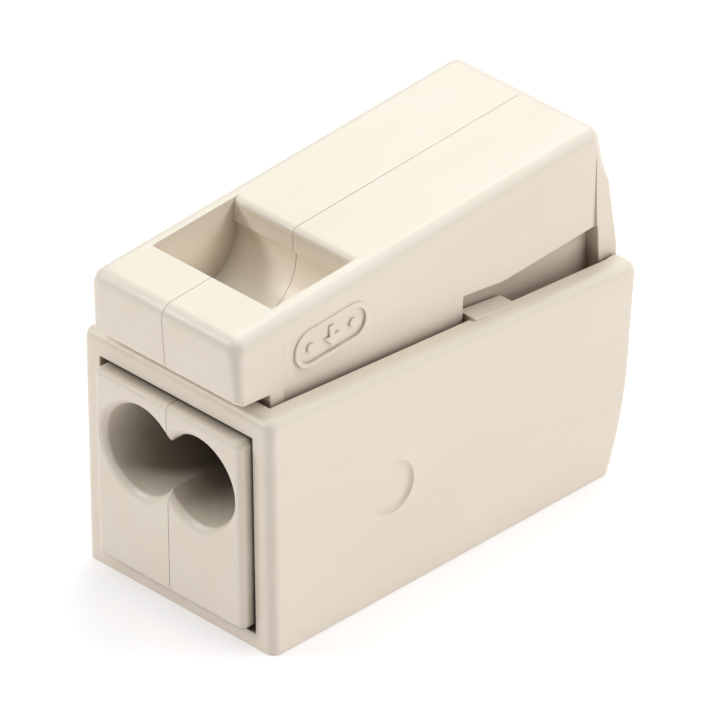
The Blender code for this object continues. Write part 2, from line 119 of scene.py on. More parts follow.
# Entry insert
INSERT_HALF = 4.1 * MM
INSERT_BACK = 1.4 * MM
INSERT_ROUNDING = 0.3 * MM
INSERT_CORNER = 0.32 * MM
INSERT_CORE = ((0.6 * MM, 3.0 * MM), (1.6 * MM, 3.6 * MM))      # depths and heights
TUBE_WALL = 0.42 * MM
TUBE_START = 0.9 * MM
TUBE_END = 5.9 * MM
ARM_SPAN = (3.3 * MM, 4.07 * MM)
ARM_HEIGHTS = (3.6 * MM, 6.1 * MM)
ARM_END = 7.7 * MM
PIP = (6.55 * MM, 4.9 * MM)
PIP_RADIUS = 0.85 * MM
PIP_END = 4.35 * MM

# Operating lever
LEVER_HALF = 4.1 * MM
LEVER_INNER_HALF = 3.2 * MM
LEVER_TILT = math.radians(3.26)
LEVER_TOP_FRONT = 14.09 * MM
LEVER_TOP_REAR = 15.227 * MM
LEVER_LOW = 8.88 * MM
LEVER_PLATE = 1.0 * MM
LEVER_EDGE = 0.6 * MM
LEVER_FRONT_EDGE = 0.34 * MM
LEVER_REAR_EDGE = 0.12 * MM
LEVER_CROWN = (12.6 * MM, 13.6 * MM)            # where the small side roundings grow into the large one
HEAD_FOOT = (-0.5 * MM, 11.2 * MM, 0.25 * MM)
HEAD_TOP = (-0.669 * MM, LEVER_TOP_FRONT, LEVER_EDGE)
HEAD_BACK = (1.15 * MM, 11.08 * MM)
FRONT_STEP = (1.62 * MM, 9.78 * MM)
FLANGE_DEPTHS = (19.2 * MM, 20.24 * MM)
FRONT_FACE_END = HEAD_FOOT[0] + 0.2 * MM        # edges ahead of this depth belong to the front face
REAR_FACE_START = FLANGE_DEPTHS[0] + 0.1 * MM   # edges behind this depth belong to the rear face
FLANGE_LOW = 8.2 * MM
FLANGE_ROUNDINGS = (0.08 * MM, 0.2 * MM)
FLANGE_BEND = 9.6 * MM
NOTCH_FRONT = (11.75 * MM, 10.79 * MM, 0.1 * MM)
NOTCH_BEND = (14.0 * MM, 10.48 * MM, 1.5 * MM)
NOTCH_BACK = (FLANGE_DEPTHS[0] - 0.05 * MM, 10.77 * MM, 0)
REAR_TOP_DEPTH = 19.44 * MM
REAR_BULGE = 0.07 * MM
PIVOT = (2.4 * MM, 9.5 * MM)
TRUNNION_RADIUS = 0.6 * MM
TRUNNION_PLAY = 0.05 * MM
TRUNNION_END = 4.72 * MM
PANEL_DEPTHS = (1.85 * MM, 19.1 * MM)
PANEL_TOPS = (13.35 * MM, 14.35 * MM)
PANEL_LOW = 8 * MM
PANEL_SUNK = (0.004 * MM, 0.2 * MM)     # at the panel's upper edge and at its foot
PANEL_STEP = 0.12 * MM
SCOOP_CENTRE = (4.5 * MM, 13.25 * MM)
SCOOP_RADIUS = 2.12 * MM
SCOOP_WALL = 0.9 * MM
SCOOP_SHELF = 0.2 * MM
SCOOP_SHELL_ARC = (205, 330)    # degrees
WINDOW_FRONT = 2.06 * MM
WINDOW_REAR = 6.45 * MM
WINDOW_HALF = 3.32 * MM
RIM_ROUNDING = 0.3 * MM
HOLLOW_FRONT = (1.5 * MM, 9.75 * MM)
HOLLOW_SLOPES = (0.3 * MM, 0.7 * MM)    # lengths of the slopes behind the scoop and at the flange
SKIRT_SPAN = (2.75 * MM, 3.45 * MM)
SKIRT_DEPTHS = (11.3 * MM, 19.4 * MM)
SKIRT_LOW = 8.5 * MM
SKIRT_ROOT = 12 * MM
NOSE = (12.7 * MM, 10.17 * MM)
NOSE_RADIUS = 0.5 * MM
NOSE_HALF = 1.4 * MM
NOSE_ROOT = 14.3 * MM
WEB_LOW = 11.2 * MM
WEB_ROOT = 0.2 * MM
LEVER_SEAM_START = (0.4 * MM, 11.13 * MM, 0)

# Moulded mark
MARK_CENTRE = (4.5 * MM, 12.32 * MM)
MARK_REACH = 1.15 * MM
MARK_RADIUS = 0.86 * MM
MARK_LINE = 0.2 * MM
MARK_SPAN = (LEVER_HALF - 0.25 * MM, LEVER_HALF + 0.07 * MM)
MARK_EDGE = 0.05 * MM
ARROW_REACH = 0.47 * MM
ARROW_HEAD_HALF = 0.42 * MM
ARROW_SHAFT_HALF = 0.13 * MM

# Metal parts
BAR_TOP = 5.65 * MM
BAR_TAIL_HALF = 1.2 * MM
BAR_TAIL_DEPTH = 11.6 * MM
BAR_TAIL_CORNER = 0.4 * MM
BAR_END_THICKNESS = 0.4 * MM
BAR_END_BENDS = (0.3 * MM, 0.1 * MM)
BAR_HOLE_RADIUS = 1.25 * MM
BAR_HOLE_CHAMFER = 0.1 * MM
SPRING_THICKNESS = 0.3 * MM
SPRING_HALF = 2.85 * MM
SPRING_LEG_END = 9.6 * MM
SPRING_LEG_HALF = 0.22 * MM
SPRING_LEG_ROOT = 0.1 * MM
TONGUE_BEND = (7.3 * MM, 8.4 * MM)
TONGUE_BEND_RADIUS = 0.5 * MM
TONGUE_BEND_END = 225           # degrees
TONGUE_GAP = 0.3 * MM
TONGUE_LIFT = 0.01 * MM
CONTACT_GAP = 0.06 * MM
CAGE_THICKNESS = 0.35 * MM
CAGE_HALF = 1.9 * MM
CAGE_FOOT = 14.6 * MM
CAGE_BEND = (12.35 * MM, 7.645 * MM)
CAGE_BEND_RADIUS = 1.75 * MM
CAGE_LEG = 16.3 * MM
CAGE_LEG_LOW = 4.0 * MM
CAGE_CORNER = 0.5 * MM
CAGE_WINDOW_HALF = 1.35 * MM
CAGE_WINDOW_HEIGHTS = (4.85 * MM, 8.2 * MM)
CAGE_WINDOW_CORNER = 0.25 * MM
BEND_SPLIT = (178, 182)         # degrees, where a bow parts into its fixed and its moving half
METAL_EDGE = 0.035 * MM

# Fits and meshing
SEAM = 0.036 * MM
PLAY = 0.1 * MM
OVERLAP = 0.3 * MM              # how far solids that are joined reach into each other
CLEAR = 1 * MM                  # how far a cutter stands out past what it cuts
FAR = 30 * MM                   # beyond the object on every side
TOUCHING = 0.001 * MM           # heights closer than this count as the same
ARC_STEP = math.radians(6)
TURNED_SEGMENTS = 96
REAR_CURVE_STEPS = 20
FLARE_STEPS = 12
PANEL_STEPS = 8
EDGE_STEPS = 7
SOFTENING_STEPS = 3
SMOOTH_CORNER = 0.3             # sine of the turn below which a corner counts as part of a curve
FLAT_ANGLE = math.radians(0.5)  # faces that meet at less than this are merged
SHARP_ANGLE = math.radians(40)  # edges over this are shaded as sharp
BEVEL_ANGLE = math.radians(50)  # edges over this are softened

# Painted shade, a darker colour painted into recesses where shade falls: its reach, its colour and the range
# of openness that it runs over
HOUSING_PAINTED_SHADE = (0.5 * MM, (0.42, 0.34, 0.27), (0.1, 0.6))
INSERT_PAINTED_SHADE = (5 * MM, (0.04, 0.028, 0.022), (0.1, 0.54))
LEVER_PAINTED_SHADE = (3 * MM, (0.36, 0.29, 0.24), (0.1, 0.6))
PAINTED_SHADE_SAMPLES = 8

# Noise is (size, detail, stretch), and a bump is (strength, distance)
IVORY_TONES = ((0.84, 0.74, 0.62), (0.865, 0.775, 0.66))
IVORY_ROUGHNESS = (0.38, 0.48)
STREAKS = (2.2 * MM, 3.0, (1.0, 0.25, 1.0))
PATCHES = (1.1 * MM, 4.0)
WAVES = (4 * MM, 1.0)
WAVE_BUMP = (0.35, 0.02 * MM)
GRAIN = (0.07 * MM, 2.0)
GRAIN_BUMP = (0.25, 0.004 * MM)

# Metals are (light tone, dark tone, lowest roughness)
COPPER = ((0.80, 0.78, 0.74), (0.66, 0.64, 0.60), 0.24)
STEEL = ((0.66, 0.66, 0.67), (0.50, 0.50, 0.52), 0.20)
BRUSHED_LINES = (0.5 * MM, 4.0, (12.0, 1.0, 1.0))
BRUSHED_BUMP = (0.3, 0.004 * MM)
BRUSHED_ROUGHNESS = 0.14        # how much rougher the roughest lines are
BRUSHED_ANISOTROPY = 0.35

# Camera
CAMERA_TURN = (45.81, 32.36, -0.77)     # azimuth, elevation and roll in degrees
CAMERA_TARGET = (0.063 * MM, FRONT_Y + 9.93 * MM, 6.93 * MM)
CAMERA_DISTANCE = 508.5                 # this, the lens and the sensor are in millimetres
CAMERA_LENS = 647.9
CAMERA_SENSOR = 36
CAMERA_CLIPS = (0.05, 5)

# Studio
FLOOR_SIZE = 1.5
FLOOR_CELLS = 8
FLOOR_TONES = ((0.63, 0.60, 0.60), (0.65, 0.62, 0.62))
FLOOR_MOTTLE = 40 * MM
FLOOR_ROUGHNESS = 0.9
FLOOR_GLOW = 0.50
FLOOR_GAP = 0.02 * MM                   # keeps the floor clear of the bottom face
WORLD_GLOW = 0.02
LIGHT_DISTANCE = 0.30
LIGHTS = (
    # name, azimuth, elevation, size, power, colour
    ("top", 0, 88, 0.20, 0.33, (0.91, 0.99, 1.0)),
    ("back_left", -150, 50, 0.16, 0.37, (0.91, 0.99, 1.0)),
    ("back_right", 135, 45, 0.12, 0.27, (1.0, 1.0, 1.0)),
    ("right", 108, 22, 0.12, 0.175, (1.0, 1.0, 1.0)),
    ("front_left", -45, 36, 0.07, 0.35, (1.0, 1.0, 1.0)),
)


# ---------------------------------------------------------------- outlines

def arc(centre, radius, start, end):
    """Points of an arc in a profile, with angles in degrees from its first axis."""
    turn = math.radians(end - start)
    steps = max(2, round(abs(turn) / ARC_STEP))
    angles = [math.radians(start) + turn * i / steps for i in range(steps + 1)]
    return [(centre[0] + radius * math.cos(a), centre[1] + radius * math.sin(a)) for a in angles]


def circle(centre, radius):
    return arc(centre, radius, 0, 360)[:-1]


def rounded(corners):
    """An outline from corners (first, second, radius), with an arc at each corner that has a radius."""
    points = []
    for i, (a, b, radius) in enumerate(corners):
        here = Vector((a, b))
        if radius == 0:
            points.append((a, b))
            continue
        before = (Vector(corners[i - 1][:2]) - here).normalized()
        after = (Vector(corners[(i + 1) % len(corners)][:2]) - here).normalized()
        half = before.angle(after) / 2
        centre = here + (before + after).normalized() * radius / math.sin(half)
        first = here + before * radius / math.tan(half) - centre
        last = here + after * radius / math.tan(half) - centre
        turn = first.angle_signed(last)
        steps = max(2, round(abs(turn) / ARC_STEP))
        for step in range(steps + 1):
            points.append(tuple(centre + Matrix.Rotation(-turn * step / steps, 2) @ first))
    return points


def rectangle(first, second, radius=0.0):
    (a0, a1), (b0, b1) = first, second
    return rounded([(a0, b0, radius), (a1, b0, radius), (a1, b1, radius), (a0, b1, radius)])


def strip(middle, thickness):
    """The outline of a bent strip of even thickness around its middle line."""
    points = [Vector(p) for p in middle]
    last = len(points) - 1
    upper, lower = [], []
    for i, point in enumerate(points):
        ahead = points[min(i + 1, last)] - point
        behind = point - points[max(i - 1, 0)]
        direction = (ahead.normalized() + behind.normalized()).normalized()
        side = Vector((-direction.y, direction.x)) * thickness / 2
        upper.append(tuple(point + side))
        lower.append(tuple(point - side))
    return upper + lower[::-1]


def quarter_turn(steps):
    """Angles from 0 to a right angle, in radians."""
    return [math.pi / 2 * i / steps for i in range(steps + 1)]


def flare(start, reach, radius, growth):
    """A mouth that opens from radius in a quarter ellipse: (depth, radius) points along reach."""
    turns = quarter_turn(FLARE_STEPS)
    return [(start + reach * math.sin(t), radius + growth * (1 - math.cos(t))) for t in turns]


# ---------------------------------------------------------------- solids

def make_object(name, builder):
    mesh = bpy.data.meshes.new(name)
    bmesh.ops.remove_doubles(builder, verts=builder.verts, dist=1e-8)
    bmesh.ops.recalc_face_normals(builder, faces=builder.faces)
    builder.to_mesh(mesh)
    builder.free()
    obj = bpy.data.objects.new(name, mesh)
    bpy.context.scene.collection.objects.link(obj)
    return obj


def skin(name, rings):
    """A closed solid through rings of the same number of points, with a flat face at both ends."""
    builder = bmesh.new()
    rings = [[builder.verts.new(p) for p in ring] for ring in rings]
    count = len(rings[0])
    for first, second in zip(rings, rings[1:]):
        for i in range(count):
            j = (i + 1) % count
            builder.faces.new((first[i], first[j], second[j], second[i]))
    builder.faces.new(rings[0])
    builder.faces.new(rings[-1])
    return make_object(name, builder)


def across(x, point):
    """A side profile's point, at a distance across the object."""
    return (x, FRONT_Y + point[0], point[1])


def inwards(depth, point):
    """A front profile's point (x, height), at a depth."""
    return (point[0], FRONT_Y + depth, point[1])


def inset_point(point, normals, distances):
    """An outline point moved inwards, away from each of its two edges by that edge's distance."""
    first, second = normals
    cross = first.cross(second)
    if abs(cross) < SMOOTH_CORNER:
        return point + (first + second).normalized() * sum(distances) / 2
    away, along = distances
    return point + Vector((away * second.y - along * first.y, along * first.x - away * second.x)) / cross


def moulded(name, outline, span, rounding=None, place=across):
    """An outline drawn out between the two ends of span. rounding(middle, end) gives the radius that an
    outline edge has at an end, 0 or 1."""
    points = [Vector(p) for p in outline]
    count = len(points)
    area = sum(points[i - 1].cross(points[i]) for i in range(count))
    normals, middles = [], []
    for i in range(count):
        edge = (points[(i + 1) % count] - points[i]).normalized()
        normals.append(Vector((-edge.y, edge.x)) * (1 if area > 0 else -1))
        middles.append((points[(i + 1) % count] + points[i]) / 2)
    rings = []
    for end, inward in ((0, 1), (1, -1)):
        radii = [rounding(m, end) if rounding else 0.0 for m in middles]
        turns = quarter_turn(EDGE_STEPS) if any(radii) else [math.pi / 2]
        made = []
        for turn in turns:
            ring = []
            for i, point in enumerate(points):
                pair = (radii[i - 1], radii[i])
                insets = [radius * (1 - math.sin(turn)) for radius in pair]
                along = span[end] + inward * max(pair) * (1 - math.cos(turn))
                ring.append(place(along, inset_point(point, (normals[i - 1], normals[i]), insets)))
            made.append(ring)
        rings += made if end == 0 else made[::-1]
    return skin(name, rings)


def even(radius):
    """A rounding that is the same at every edge and at both ends."""
    return lambda middle, end: radius


def block(name, half_width, depths, heights):
    return moulded(name, rectangle(depths, heights), (-half_width, half_width))


def both_sides(name, outline, low, high, rounding=None):
    """The same solid on the right and on the left, between x = low and x = high."""
    return [
        moulded(f"{name}_right", outline, (low, high), rounding),
        moulded(f"{name}_left", outline, (-high, -low), rounding),
    ]


def turned(name, profile, x, height):
    """A solid of revolution about a line along Y; profile holds (depth, radius) from end to end."""
    angles = [2 * math.pi * (i + 0.5) / TURNED_SEGMENTS for i in range(TURNED_SEGMENTS)]
    return skin(name, [
        [(x + radius * math.cos(a), FRONT_Y + depth, height + radius * math.sin(a)) for a in angles]
        for depth, radius in profile
    ])


def bake(obj):
    """Makes the result of the modifiers the object's own mesh, and deletes the solids that they used."""
    tools = [m.object for m in obj.modifiers if m.type == "BOOLEAN"]
    bpy.context.view_layer.update()
    graph = bpy.context.evaluated_depsgraph_get()
    mesh = bpy.data.meshes.new_from_object(obj.evaluated_get(graph), depsgraph=graph)
    obj.modifiers.clear()
    obj.data = mesh
    for tool in tools:
        bpy.data.objects.remove(tool)


def combine(base, operation, tools):
    for tool in tools:
        modifier = base.modifiers.new(operation, "BOOLEAN")
        modifier.operation = operation
        modifier.object = tool
        modifier.solver = "MANIFOLD"
    bake(base)


def cut(base, *tools):
    combine(base, "DIFFERENCE", tools)


def add(base, *tools):
    combine(base, "UNION", tools)


def merge_flats(obj):
    """Makes each flat stretch one face again, where a cut has left slivers."""
    builder = bmesh.new()
    builder.from_mesh(obj.data)
    bmesh.ops.dissolve_limit(builder, angle_limit=FLAT_ANGLE, verts=builder.verts, edges=builder.edges)
    builder.to_mesh(obj.data)
    builder.free()


def soften(obj, width):
    """Rounds every sharp edge a little."""
    merge_flats(obj)
    bevel = obj.modifiers.new("soften", "BEVEL")
    bevel.width = width
    bevel.segments = SOFTENING_STEPS
    bevel.limit_method = "ANGLE"
    bevel.angle_limit = BEVEL_ANGLE
    bevel.use_clamp_overlap = False
    bake(obj)


def finish_surface(obj, material, body, node):
    """Shading, material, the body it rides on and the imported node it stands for."""
    merge_flats(obj)
    obj.data.shade_smooth()
    obj.data.set_sharp_from_angle(angle=SHARP_ANGLE)
    normals = obj.modifiers.new("even shading", "WEIGHTED_NORMAL")
    normals.keep_sharp = True
    obj.data.materials.clear()
    obj.data.materials.append(material)
    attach(obj, body)
    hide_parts(node)


# ---------------------------------------------------------------- housing

def wall_top(depth):
    return FRONT_HEIGHT - depth * math.tan(TOP_SLOPE)


def rear_curve():
    """The rear face from the foot up to the shoulder, where its straight slant begins."""
    foot, control, shoulder = Vector((BASE_LENGTH, 0)), Vector(REAR_CONTROL), Vector(REAR_SHOULDER)
    shares = [i / REAR_CURVE_STEPS for i in range(REAR_CURVE_STEPS)]
    return [tuple((1 - t) ** 2 * foot + 2 * t * (1 - t) * control + t * t * shoulder) for t in shares]


def cavity_outline():
    """The room inside, open at the front below the front bar and at the top behind it."""
    return [
        (-FAR, FLOOR),
        (REAR_INNER - FLOOR, FLOOR),
        (REAR_INNER, REAR_SHOULDER[1] + OVERLAP),
        (REAR_INNER, REAR_WALL_TOP),
        (FAR, REAR_WALL_TOP),
        (FAR, FAR),
        (FRONT_BAR_DEPTH, FAR),
        (FRONT_BAR_DEPTH, FRONT_OPENING_TOP),
        (-FAR, FRONT_OPENING_TOP),
    ]


def make_housing():
    outline = rear_curve() + rounded([
        (*REAR_SHOULDER, 0),
        (REAR_TIP, wall_top(REAR_TIP) + REAR_RISE, REAR_TIP_ROUNDING),
        (REAR_RISE_START, wall_top(REAR_RISE_START), REAR_RISE_ROUNDING),
        (0, FRONT_HEIGHT, TOP_ROUNDING),
        (0, 0, 0),
    ])

    def side_edges(middle, end):
        """Rounds all edges but those of the bottom face."""
        return EDGE_RADIUS if middle.y > TOUCHING else 0.0

    housing = moulded("connector_housing", outline, (-HALF_WIDTH, HALF_WIDTH), side_edges)
    cut(housing, moulded("inside", cavity_outline(), (-INNER_HALF, INNER_HALF)))
    soften(housing, FINE_EDGE)

    guide = block("guide", GUIDE_HALF, GUIDE_DEPTHS, (FLOOR - OVERLAP, GUIDE_TOP))
    ledge = [
        (LEDGE_DEPTHS[0], LEDGE_BOTTOM),
        (LEDGE_DEPTHS[1], LEDGE_BOTTOM),
        (LEDGE_DEPTHS[1], LEDGE_TOPS[1]),
        (LEDGE_DEPTHS[0], LEDGE_TOPS[0]),
    ]
    ledges = both_sides("ledge", ledge, LEDGE_INNER, INNER_HALF + OVERLAP, even(FINE_EDGE))
    pillar = rectangle(PILLAR_DEPTHS, (FLOOR - OVERLAP, BAR_BOTTOM - PLAY))
    add(housing, guide, *ledges, *both_sides("pillar", pillar, *PILLAR_SPAN))

    entry = turned("entry", [
        (REAR_FUNNEL[0] - CLEAR, REAR_FUNNEL_RADIUS),
        (REAR_FUNNEL[0], REAR_FUNNEL_RADIUS),
        (REAR_FUNNEL[1], REAR_ENTRY_RADIUS),
        *flare(REAR_FLARE_START, REAR_FLARE_REACH, REAR_ENTRY_RADIUS, REAR_FLARE),
        (FAR, REAR_ENTRY_RADIUS + REAR_FLARE),
    ], 0, REAR_ENTRY_HEIGHT)
    inner = INNER_HALF - OVERLAP
    socket = circle(PIVOT, TRUNNION_RADIUS + TRUNNION_PLAY)
    sockets = both_sides("socket", socket, inner, TRUNNION_END + PLAY)
    seats = both_sides("pip_seat", circle(PIP, PIP_RADIUS + PLAY), inner, PIP_END + PLAY)
    disc_span = (HALF_WIDTH - DISC_SUNK, HALF_WIDTH + OVERLAP)
    discs = both_sides("disc", circle(PIP, DISC_RADIUS), *disc_span, even(DISC_FILLET))
    cut(housing, entry, *sockets, *seats, *discs)
    return housing


# ---------------------------------------------------------------- entry insert

def entry_mouth():
    """An entry's rounded mouth: (depth, radius) points from the insert's face to the crease at the bore."""
    start = INSERT_FRONT + ENTRY_FLARE_REACH
    rounding = flare(start, -ENTRY_FLARE_REACH, ENTRY_RADIUS - ENTRY_CREASE, ENTRY_FLARE)
    return [(depth, radius) for depth, radius in rounding[::-1] if radius > ENTRY_RADIUS]


def entry_cutter(name, x):
    """One wire channel: a flared mouth, the bore for the insulation and a funnel for the stripped end."""
    mouth = entry_mouth()
    profile = [(INSERT_FRONT - CLEAR, mouth[0][1])] + mouth + [
        (ENTRY_FUNNEL[0], ENTRY_RADIUS),
        (ENTRY_FUNNEL[1], STRIPPED_RADIUS),
        (TUBE_END + CLEAR, STRIPPED_RADIUS),
    ]
    return turned(name, profile, x, ENTRY_HEIGHT)


def make_entry_insert():
    face = rectangle((-INSERT_HALF, INSERT_HALF), (INSERT_BOTTOM, INSERT_TOP), INSERT_CORNER)

    def front_edges(middle, end):
        return INSERT_ROUNDING if end == 0 else 0.0

    insert = moulded("wire_entry_insert", face, (INSERT_FRONT, INSERT_BACK), front_edges, inwards)
    outer = ENTRY_RADIUS + TUBE_WALL
    tube = [(TUBE_START, outer), (TUBE_END - PLAY, outer), (TUBE_END, outer - PLAY)]
    tubes = [turned("tube", tube, x, ENTRY_HEIGHT) for x in (-ENTRY_X, ENTRY_X)]
    arms = both_sides("arm", rectangle((TUBE_START, ARM_END), ARM_HEIGHTS), *ARM_SPAN, even(FINE_EDGE))
    pips = both_sides("pip", circle(PIP, PIP_RADIUS), INSERT_HALF - OVERLAP, PIP_END, even(FINE_EDGE))
    add(insert, *tubes, *arms, *pips)
    core = block("core", ARM_SPAN[0], *INSERT_CORE)
    cut(insert, core, entry_cutter("left", -ENTRY_X), entry_cutter("right", ENTRY_X))

    cusps = [(depth, math.sqrt(radius ** 2 - ENTRY_X ** 2)) for depth, radius in entry_mouth()]
    above = strip([
        (TUBE_START, INSERT_TOP),
        *arc((INSERT_FRONT + INSERT_ROUNDING, INSERT_TOP - INSERT_ROUNDING), INSERT_ROUNDING, 90, 180),
        *[(depth, ENTRY_HEIGHT + half) for depth, half in cusps],
    ], SEAM)
    below = strip([
        *[(depth, ENTRY_HEIGHT - half) for depth, half in cusps[::-1]],
        (INSERT_FRONT, INSERT_BOTTOM + INSERT_ROUNDING),
    ], SEAM)
    cut(insert, *[moulded("seam", outline, (-SEAM / 2, SEAM / 2)) for outline in (above, below)])
    return insert


# ---------------------------------------------------------------- operating lever

def lever_top(depth):
    return LEVER_TOP_FRONT + (depth - INSERT_FRONT) * math.tan(LEVER_TILT)


def rear_point(height):
    """A corner of the lever's rear edge, which leans forwards and bulges a little."""
    share = (height - FLANGE_BEND) / (LEVER_TOP_REAR - FLANGE_BEND)
    straight = FLANGE_DEPTHS[1] + share * (REAR_TOP_DEPTH - FLANGE_DEPTHS[1])
    return (straight + REAR_BULGE * math.sin(math.pi * share), height, 0)


def lever_outline():
    """From the underside of the head back to the rear flange, and forwards again over the top."""
    flange_front, flange_back = FLANGE_DEPTHS
    return rounded([
        HEAD_FOOT,
        (*HEAD_BACK, 0),
        (HEAD_BACK[0], FRONT_STEP[1], 0),
        (*FRONT_STEP, 0),
        (FRONT_STEP[0], LEVER_LOW, 0),
        (NOTCH_FRONT[0], LEVER_LOW, 0),
        NOTCH_FRONT,
        NOTCH_BEND,
        NOTCH_BACK,
        (flange_front, FLANGE_LOW, FLANGE_ROUNDINGS[0]),
        (flange_back, FLANGE_LOW, FLANGE_ROUNDINGS[1]),
        (flange_back, FLANGE_BEND, 0),
        *[rear_point(height) for height in (LEVER_CROWN[0], sum(LEVER_CROWN) / 2, LEVER_CROWN[1])],
        (REAR_TOP_DEPTH, LEVER_TOP_REAR, LEVER_EDGE),
        HEAD_TOP,
    ])


def window_outline():
    """The scoop behind the head and the window above it, open at the top."""
    rim = WINDOW_REAR + RIM_ROUNDING
    rim_centre = (rim, lever_top(rim) - RIM_ROUNDING / math.cos(LEVER_TILT))
    shelf = SCOOP_CENTRE[1] + SCOOP_SHELF
    return [
        (WINDOW_FRONT, FAR),
        (WINDOW_FRONT, SCOOP_CENTRE[1]),
        *arc(SCOOP_CENTRE, SCOOP_RADIUS, 180, 360),
        (SCOOP_CENTRE[0] + SCOOP_RADIUS, shelf),
        (WINDOW_REAR, shelf),
        *arc(rim_centre, RIM_ROUNDING, 180, 90 + math.degrees(LEVER_TILT)),
        (rim, FAR),
    ]


def hollow_outline():
    """The room under the scoop's shell and under the top plate, open at the bottom."""
    shell = arc(SCOOP_CENTRE, SCOOP_RADIUS + SCOOP_WALL, *SCOOP_SHELL_ARC)
    front, front_top = HOLLOW_FRONT
    back = FLANGE_DEPTHS[0]
    behind_shell = shell[-1][0] + HOLLOW_SLOPES[0]
    behind_plate = back - HOLLOW_SLOPES[1]
    return [
        (front, 0),
        (front, front_top),
        (shell[0][0], front_top),
        *shell,
        (behind_shell, lever_top(behind_shell) - LEVER_PLATE),
        (behind_plate, lever_top(behind_plate) - LEVER_PLATE),
        (back, PIVOT[1]),
        (back, 0),
    ]


def side_panel(name, side):
    """The cutter that sinks a side panel: nearly flush at its upper edge, deeper at its foot, with a
    rounded step down from the head."""
    near, far = PANEL_DEPTHS
    turns = quarter_turn(PANEL_STEPS)
    step = [(near + PANEL_STEP * math.sin(t), 1 - math.cos(t)) for t in turns]
    rings = []
    for sunk, heights in zip(PANEL_SUNK, (PANEL_TOPS, (PANEL_LOW, PANEL_LOW))):
        ring = []
        for depth, share in step + [(far, 1)]:
            height = heights[0] + (depth - near) / (far - near) * (heights[1] - heights[0])
            ring.append((side * (LEVER_HALF - sunk * share), FRONT_Y + depth, height))
        for depth, height in ((far, heights[1]), (near, heights[0])):
            ring.append((side * (LEVER_HALF + OVERLAP), FRONT_Y + depth, height))
        rings.append(ring)
    return skin(name, rings)


def make_mark():
    """A moulded pictogram on the right side of the lever: a long rounded frame around an arrow that points
    down, for pressing, between two dots."""
    tilt = Matrix.Rotation(LEVER_TILT, 2)
    centre = Vector(MARK_CENTRE)

    def place(outline):
        return [tuple(centre + tilt @ Vector(p)) for p in outline]

    def long_ring(radius):
        return place(arc((MARK_REACH, 0), radius, -90, 90) + arc((-MARK_REACH, 0), radius, 90, 270))

    def raised(name, outline):
        return moulded(name, outline, MARK_SPAN, lambda middle, end: MARK_EDGE * end)

    ring = raised("mark_frame", long_ring(MARK_RADIUS))
    cut(ring, moulded("mark_inside", long_ring(MARK_RADIUS - MARK_LINE), (0, FAR)))
    arrow = [
        (0, -ARROW_REACH),
        (ARROW_HEAD_HALF, 0),
        (ARROW_SHAFT_HALF, 0),
        (ARROW_SHAFT_HALF, ARROW_REACH),
        (-ARROW_SHAFT_HALF, ARROW_REACH),
        (-ARROW_SHAFT_HALF, 0),
        (-ARROW_HEAD_HALF, 0),
    ]
    dots = [raised("mark_dot", place(circle((x, 0), MARK_LINE))) for x in (-MARK_REACH, MARK_REACH)]
    return [ring, raised("mark_arrow", place(arrow)), *dots]


def make_operating_lever():
    crown_low, crown_high = LEVER_CROWN

    def side_edges(middle, end):
        """Small low down, growing over the crown to the large rounding of the top."""
        if middle.x < FRONT_FACE_END:
            upright = LEVER_FRONT_EDGE
        elif middle.x > REAR_FACE_START:
            upright = LEVER_REAR_EDGE
        else:
            upright = FINE_EDGE
        share = min(1.0, max(0.0, (middle.y - crown_low) / (crown_high - crown_low)))
        return upright + share * (LEVER_EDGE - upright)

    lever = moulded("press_lever", lever_outline(), (-LEVER_HALF, LEVER_HALF), side_edges)
    window = moulded("window", window_outline(), (-WINDOW_HALF, WINDOW_HALF))
    hollow = moulded("hollow", hollow_outline(), (-LEVER_INNER_HALF, LEVER_INNER_HALF))
    cut(lever, window, hollow, side_panel("panel_right", 1), side_panel("panel_left", -1))

    skirt = rectangle(SKIRT_DEPTHS, (SKIRT_LOW, SKIRT_ROOT))
    skirts = both_sides("skirt", skirt, *SKIRT_SPAN, even(FINE_EDGE))
    trunnion = circle(PIVOT, TRUNNION_RADIUS)
    trunnions = both_sides("trunnion", trunnion, LEVER_HALF - OVERLAP, TRUNNION_END, even(FINE_EDGE))
    nose_outline = [(NOSE[0] + NOSE_RADIUS, NOSE_ROOT), (NOSE[0] - NOSE_RADIUS, NOSE_ROOT)]
    nose_outline += arc(NOSE, NOSE_RADIUS, 180, 360)
    nose = moulded("nose", nose_outline, (-NOSE_HALF, NOSE_HALF), even(FINE_EDGE))
    web_depths = (NOSE[0] - NOSE_RADIUS / 2, NOSE[0] + NOSE_RADIUS / 2)
    web = block("web", LEVER_INNER_HALF + WEB_ROOT, web_depths, (WEB_LOW, NOSE_ROOT))
    add(lever, *skirts, *trunnions, nose, web, *make_mark())

    seam_line = rounded([
        LEVER_SEAM_START,
        HEAD_FOOT,
        HEAD_TOP,
        (WINDOW_FRONT, lever_top(WINDOW_FRONT), 0),
    ])
    seam_line += window_outline()[1:-1]
    last = REAR_TOP_DEPTH - LEVER_EDGE
    seam_line.append((last, lever_top(last)))
    cut(lever, moulded("seam", strip(seam_line, SEAM), (-SEAM / 2, SEAM / 2)))
    return lever


# ---------------------------------------------------------------- metal parts

def bent(name, middle, thickness, span):
    """A spring bent from strip, with its cut edges broken."""
    return moulded(name, strip(middle, thickness), span, even(METAL_EDGE))


